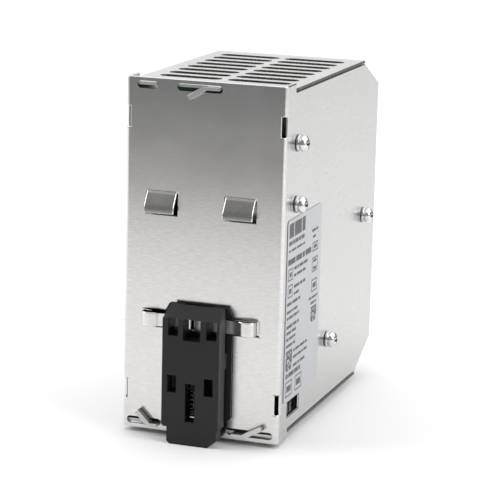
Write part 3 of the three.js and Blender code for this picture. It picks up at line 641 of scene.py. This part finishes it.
class SideLabel(bpy.types.Operator):
    """Lays the silver label on the side panel and prints plain bars and boxes on it"""

    bl_idname = "supply.side_label"
    bl_label = "Side label"

    def execute(self, context):
        look = finish_settings()
        film = label_finish("label_film", tuple(look.label))
        formed_copy("side_label", film, 0.05 * MM)
        ink = ink_finish("label_ink", tuple(look.ink))
        self.print_label(ink)
        return {"FINISHED"}

    def print_label(self, ink):
        """Lays every printed bar on the film as one thin piece."""
        low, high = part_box("side_label")
        bpy.ops.object.select_all(action="DESELECT")
        bars = []
        for index, (start, end, middle, height, words) in enumerate(LABEL_LINES):
            bars += self.line(index, start, end, middle, height, words)
        for start, end, top, bottom, rows in LABEL_BOXES:
            bars += self.box(start, end, top, bottom, rows)
        for start, end, top, bottom in LABEL_CODES:
            bars += self.code(start, end, top, bottom)
        thickness = 0.02 * MM
        for index, (start, end, top, bottom) in enumerate(bars):
            place = (low.x, high.y - (start + end) / 2 * MM, high.z - (top + bottom) / 2 * MM)
            size = (thickness, (end - start) * MM, (bottom - top) * MM)
            bpy.ops.mesh.primitive_cube_add(size=1, location=place, scale=size)
            if index == 0:
                bpy.ops.object.mode_set(mode="EDIT")
        bpy.ops.object.mode_set(mode="OBJECT")
        add_piece("label_print", "case", ink)

    def line(self, index, start, end, middle, height, words):
        """Words of uneven length with gaps between them."""
        lengths = [1 + 0.55 * math.sin(2.4 * index + 1.9 * word) for word in range(words)]
        gap = min(0.8, 0.16 * (end - start) / words)
        unit = (end - start - gap * (words - 1)) / sum(lengths)
        bars = []
        for length in lengths:
            bars.append((start, start + unit * length, middle - height / 2, middle + height / 2))
            start += unit * length + gap
        return bars

    def box(self, start, end, top, bottom, rows):
        """A ruled frame with one bar in each of its rows."""
        rule = 0.45
        bars = [
            (start, end, top, top + rule),
            (start, end, bottom - rule, bottom),
            (start, start + rule, top + rule, bottom - rule),
            (end - rule, end, top + rule, bottom - rule),
        ]
        step = (bottom - top) / rows
        for row in range(rows):
            middle = top + step * (row + 0.5)
            bars.append((start + 1.3, end - 1.3, middle - step * 0.2, middle + step * 0.2))
        return bars

    def code(self, start, end, top, bottom):
        """A square of small cells, some left out by a formula; it says nothing."""
        cells = 9
        step_across = (end - start) / cells
        step_down = (bottom - top) / cells
        bars = []
        for across in range(cells):
            for down in range(cells):
                if math.sin(3.1 * across + 5.3 * down + across * down) > -0.6:
                    left, up = start + across * step_across, top + down * step_down
                    bars.append((left, left + step_across * 0.94, up, up + step_down * 0.94))
        return bars


class Selector(bpy.types.Operator):
    """Moulds the voltage selector's housing and slider"""

    bl_idname = "supply.selector"
    bl_label = "Selector"

    def execute(self, context):
        look = finish_settings()
        plastic = moulded_finish("selector_plastic", tuple(look.plastic), 0.35)
        formed_copy("selector_housing", plastic, 0.15 * MM)
        formed_copy("selector_slider", plastic, 0.15 * MM, body="selector")
        return {"FINISHED"}


class Terminals(bpy.types.Operator):
    """Moulds the terminal blocks and finishes their screws, clamps and contact bars"""

    bl_idname = "supply.terminals"
    bl_label = "Terminals"

    def execute(self, context):
        look = finish_settings()
        plastic = moulded_finish("terminal_plastic", tuple(look.terminal), 0.45)
        brass = metal_finish("clamp_brass", (0.72, 0.60, 0.36), 0.28)
        copper = metal_finish("bar_copper", (0.75, 0.42, 0.26), 0.3)
        zinc = zinc_finish("terminal_zinc", (0.75, 0.75, 0.74), 0.2)
        for node in ("output_block", "input_block"):
            formed_copy(node, plastic, 0.2 * MM)
        for kind, count in (("output", 4), ("input", 3)):
            for index in range(1, count + 1):
                screw = f"{kind}_screw_{index}"
                clamp = f"{kind}_clamp_{index}"
                formed_copy(screw, zinc, 0.12 * MM, body=screw)
                formed_copy(clamp, brass, 0.15 * MM, body=clamp)
        for node in ("positive_bar", "negative_bar", "input_bar_1", "input_bar_2", "input_bar_3"):
            formed_copy(node, copper, 0.1 * MM)
        return {"FINISHED"}


class FrontDetails(bpy.types.Operator):
    """Finishes the indicator lens and the output trimmer"""

    bl_idname = "supply.front_details"
    bl_label = "Front details"

    def execute(self, context):
        lens = moulded_finish("lens_green", (0.12, 0.62, 0.2), 0.15, 0.000002)
        blue = moulded_finish("trimmer_blue", (0.03, 0.12, 0.45), 0.4)
        white = moulded_finish("dial_white", (0.8, 0.8, 0.77), 0.4)
        laminate = board_finish("indicator_laminate", (0.012, 0.05, 0.022))
        formed_copy("indicator_lens", lens, 0.1 * MM)
        formed_copy("trimmer_body", blue, 0.2 * MM)
        formed_copy("trimmer_dial", white, 0.12 * MM, body="trimmer")
        formed_copy("indicator_board", laminate, 0.1 * MM)
        return {"FINISHED"}


class Converter(bpy.types.Operator):
    """Finishes the board, heat sinks, transformer, capacitors and the rest inside the case"""

    bl_idname = "supply.converter"
    bl_label = "Converter"

    def execute(self, context):
        laminate = board_finish("main_laminate", (0.012, 0.05, 0.022))
        film = moulded_finish("insulating_film", (0.72, 0.68, 0.55), 0.5)
        aluminium = metal_finish("sink_aluminium", (0.68, 0.69, 0.71), 0.32)
        epoxy = moulded_finish("device_epoxy", (0.02, 0.02, 0.02), 0.5)
        ferrite = moulded_finish("ferrite", (0.035, 0.035, 0.04), 0.6)
        tape = moulded_finish("winding_tape", (0.75, 0.52, 0.06), 0.35)
        sleeve = moulded_finish("can_sleeve", (0.02, 0.03, 0.06), 0.3)
        wire = metal_finish("enamelled_wire", (0.55, 0.22, 0.08), 0.3)
        glass = clear_finish("fuse_glass", (0.9, 0.93, 0.92), 0.08, 0.8)
        brass = metal_finish("spacer_brass", (0.72, 0.6, 0.36), 0.3)
        for node, finish, edge, slot in (
            ("main_board", laminate, 0.1, "laminate"),
            ("insulating_film", film, 0.05, "film"),
            ("output_heatsink", aluminium, 0.2, "sink_aluminium"),
            ("primary_heatsink", aluminium, 0.2, "sink_aluminium"),
            ("rectifier", epoxy, 0.3, "device_plastic"),
            ("switching_transistor", epoxy, 0.3, "device_plastic"),
            ("transformer_core", ferrite, 0.4, "ferrite"),
            ("transformer_winding", tape, 0.4, "winding"),
            ("bulk_capacitor_1", sleeve, 0.4, "can"),
            ("bulk_capacitor_2", sleeve, 0.4, "can"),
            ("output_capacitor_1", sleeve, 0.4, "can"),
            ("output_capacitor_2", sleeve, 0.4, "can"),
            ("input_choke", wire, 0.6, "wire_copper"),
            ("fuse", glass, 0.2, "fuse_glass"),
        ):
            formed_copy(node, finish, edge * MM)
        for index in range(1, 5):
            formed_copy(f"board_spacer_{index}", brass, 0.15 * MM)
        return {"FINISHED"}


class Stage(bpy.types.Operator):
    """Sets the pale floor and backdrop, the soft lights and the camera"""

    bl_idname = "supply.stage"
    bl_label = "Stage"

    def execute(self, context):
        self.sweep()
        self.lights(context.scene.supply_stage)
        self.camera(context.scene)
        return {"FINISHED"}

    def sweep(self):
        """A pale floor, curved up into a wall far beyond the front and painted dark grey beyond the rail side
        as painted shade.
        """
        paint = Paint("pale_floor", (0.86, 0.86, 0.86), 0.9)
        tone = paint.noise(3.0, detail=3.0)
        pale = paint.mix(tone, (0.85, 0.85, 0.85), (0.88, 0.88, 0.88))
        # painted shade: beyond the rail side the floor is coloured dark grey in place of the unlit room
        # beyond the lights
        paint.set("Base Color", paint.mix(paint.axis(1).between(395, 480), pale, (0.26, 0.26, 0.265)))
        near, far = 3.0, -3.2
        bpy.ops.object.select_all(action="DESELECT")
        bpy.ops.mesh.primitive_plane_add(size=1, location=(0, (near + far) / 2, 0))
        floor = bpy.context.view_layer.objects.active
        floor.name = "stage_floor"
        floor.scale = (6, near - far, 1)
        bpy.ops.object.transform_apply(location=True, rotation=True, scale=True)
        bpy.ops.object.mode_set(mode="EDIT")
        bpy.ops.mesh.select_mode(type="EDGE")
        bpy.ops.mesh.select_all(action="DESELECT")
        bpy.ops.object.mode_set(mode="OBJECT")
        for edge in floor.data.edges:
            edge.select = all(floor.data.vertices[index].co.y < far + 0.1 for index in edge.vertices)
        bpy.ops.object.mode_set(mode="EDIT")
        bpy.ops.mesh.extrude_region_move(TRANSFORM_OT_translate={"value": (0, 0, 3)})
        bpy.ops.object.mode_set(mode="OBJECT")
        modify(floor, "BEVEL", width=0.9, segments=16, limit_method="ANGLE")
        select_only(floor)
        bpy.ops.object.shade_smooth()
        floor.data.materials.append(paint.material)

    def lights(self, setup):
        world = bpy.data.worlds.new("studio")
        bpy.context.scene.world = world
        world.use_nodes = True
        background = world.node_tree.nodes["Background"]
        background.inputs["Color"].default_value = (1.0, 1.0, 1.0, 1.0)
        background.inputs["Strength"].default_value = setup.room
        # one wide canopy over the supply and the floor beyond it, and a card at each side
        self.softbox("canopy", (0, -0.84, 0.6), (0, -0.84, 0), (2.4, 2.36), setup.canopy)
        for side in (-1, 1):
            place = (side * 0.75, 0.27, 0.45)
            self.softbox(f"side_card_{side + 2}", place, (0, 0.2, 0), (0.5, 0.5), setup.card)

    def softbox(self, name, place, aim, size, glow):
        """A flat soft light of the given size; glow is the brightness of its face."""
        data = bpy.data.lights.new(name, "AREA")
        data.shape = "RECTANGLE"
        data.size, data.size_y = size
        data.energy = glow * math.pi * size[0] * size[1]
        light = bpy.data.objects.new(name, data)
        bpy.context.scene.collection.objects.link(light)
        light.location = place
        light.rotation_mode = "QUATERNION"
        light.rotation_quaternion = (Vector(aim) - Vector(place)).to_track_quat("-Z", "Y")

    def camera(self, scene):
        setup = scene.supply_stage
        azimuth, elevation = setup.azimuth, setup.elevation
        back = Vector((
            math.sin(azimuth) * math.cos(elevation),
            -math.cos(azimuth) * math.cos(elevation),
            math.sin(elevation),
        ))
        right = (-back).cross(Vector((0, 0, 1))).normalized()
        up = back.cross(right)
        turned_right = math.cos(setup.roll) * right + math.sin(setup.roll) * up
        turned_up = math.cos(setup.roll) * up - math.sin(setup.roll) * right
        data = bpy.data.cameras.new("camera")
        data.lens = setup.lens
        data.sensor_width = 36
        data.clip_start, data.clip_end = 0.01, 50
        camera = bpy.data.objects.new("camera", data)
        scene.collection.objects.link(camera)
        turn = Matrix((turned_right, turned_up, back)).transposed()
        target = Vector((0, BACK_PLATE, BASE)) + Vector(setup.target)
        camera.matrix_world = Matrix.Translation(target + back * setup.distance) @ turn.to_4x4()
        scene.camera = camera
        scene.view_settings.view_transform = "Standard"


OPERATORS = (SheetMetal, RailClip, SideScrews, SideLabel, Selector, Terminals, FrontDetails, Converter, Stage)


class SupplyPanel(bpy.types.Panel):
    """Lists the supply's settings and building steps"""

    bl_idname = "VIEW3D_PT_supply"
    bl_label = "Rail Power Supply"
    bl_space_type = "VIEW_3D"
    bl_region_type = "UI"
    bl_category = "Supply"

    def draw(self, context):
        for settings in (context.scene.supply_finish, context.scene.supply_stage):
            for name in settings.bl_rna.properties.keys():
                if name not in {"rna_type", "name"}:
                    self.layout.prop(settings, name)
        for operator in OPERATORS:
            self.layout.operator(operator.bl_idname)


CLASSES = (SupplyFinish, SupplyStage, *OPERATORS, SupplyPanel)


def register():
    for item in CLASSES:
        bpy.utils.register_class(item)
    bpy.types.Scene.supply_finish = bpy.props.PointerProperty(type=SupplyFinish)
    bpy.types.Scene.supply_stage = bpy.props.PointerProperty(type=SupplyStage)


def unregister():
    del bpy.types.Scene.supply_stage
    del bpy.types.Scene.supply_finish
    for item in reversed(CLASSES):
        bpy.utils.unregister_class(item)


def main():
    register()
    bpy.ops.supply.stage()
    bpy.ops.supply.sheet_metal()
    bpy.ops.supply.rail_clip()
    bpy.ops.supply.side_screws()
    bpy.ops.supply.side_label()
    bpy.ops.supply.selector()
    bpy.ops.supply.terminals()
    bpy.ops.supply.front_details()
    bpy.ops.supply.converter()


if __name__ == "__main__":
    main()
